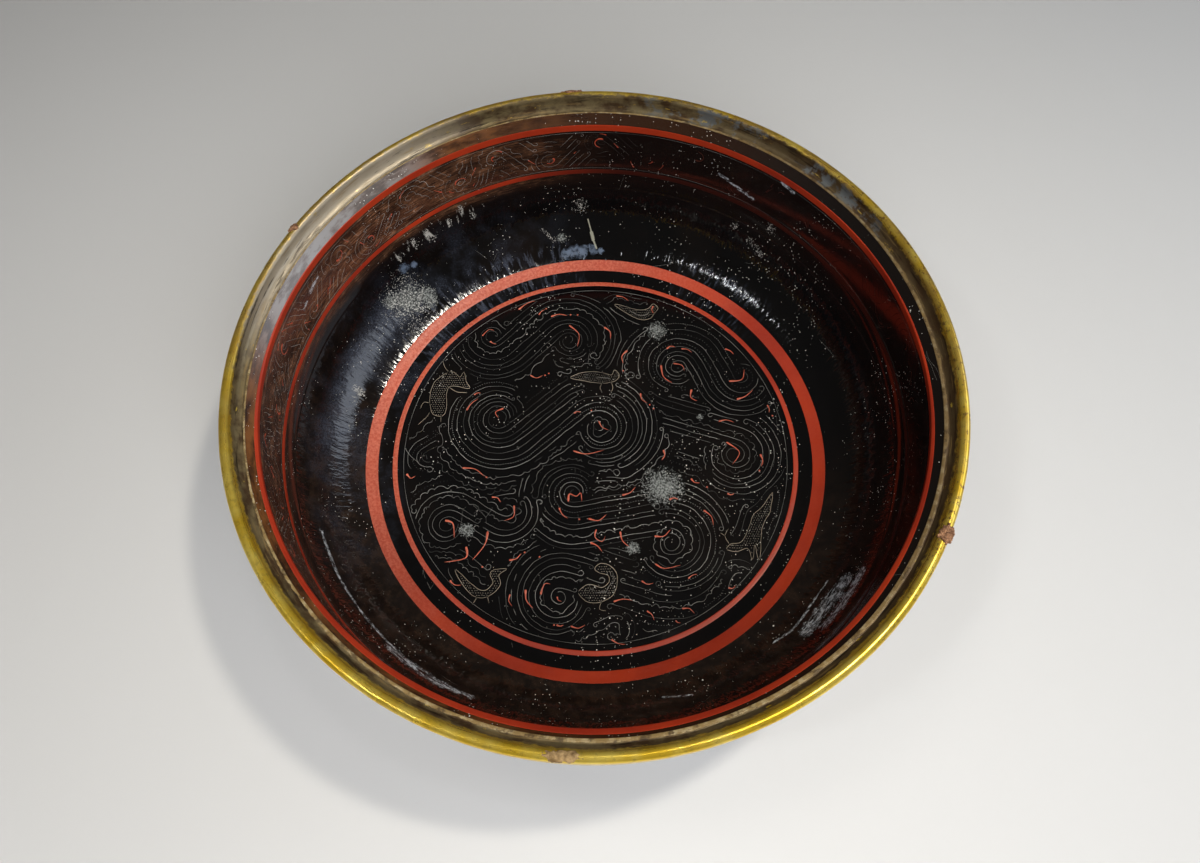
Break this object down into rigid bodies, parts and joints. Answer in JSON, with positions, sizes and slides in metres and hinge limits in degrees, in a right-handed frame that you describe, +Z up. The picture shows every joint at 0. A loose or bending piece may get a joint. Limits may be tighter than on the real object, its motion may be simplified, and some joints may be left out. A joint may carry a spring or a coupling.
{
  "type": "engraved lacquer basin",
  "caption": "Round black-lacquer basin on a turned wooden core, with red lines, an everted lip in a gilt-bronze channel and a low ring foot.",
  "frame": {"origin": "centre of the foot's standing face, on the axis the bowl was turned about", "axes": "+Z up along the turning axis, from the foot to the rim; +X and +Y lie in the standing face, and the bowl is round about +Z"},
  "size_m": [0.28, 0.28, 0.09],
  "materials": {
    "core_wood": "turned, unfinished, worn on the standing edge",
    "lacquer_ground": "matt paste of ash and clay bound in lacquer",
    "black_lacquer": "polished black lacquer, aged, with engraved hairlines",
    "red_lacquer": "cinnabar lacquer, satin gloss",
    "gilt_bronze": "fire-gilt bronze, worn and dulled",
    "bedding_paste": "dry lacquer paste"
  },
  "bodies": {
    "root": {"wood_core": "core_wood", "ground_inside": "lacquer_ground", "ground_outside": "lacquer_ground", "ground_base": "lacquer_ground", "lacquer_inside": "black_lacquer", "lacquer_outside": "black_lacquer", "lacquer_base": "black_lacquer", "rim_bedding": "bedding_paste", "rim_channel": "gilt_bronze", "red_line_floor_thin": "red_lacquer", "red_line_floor_broad": "red_lacquer", "red_line_wall_lower": "red_lacquer", "red_line_wall_upper": "red_lacquer", "red_line_outside_upper": "red_lacquer", "red_line_outside_lower": "red_lacquer"}
  },
  "joints": []
}
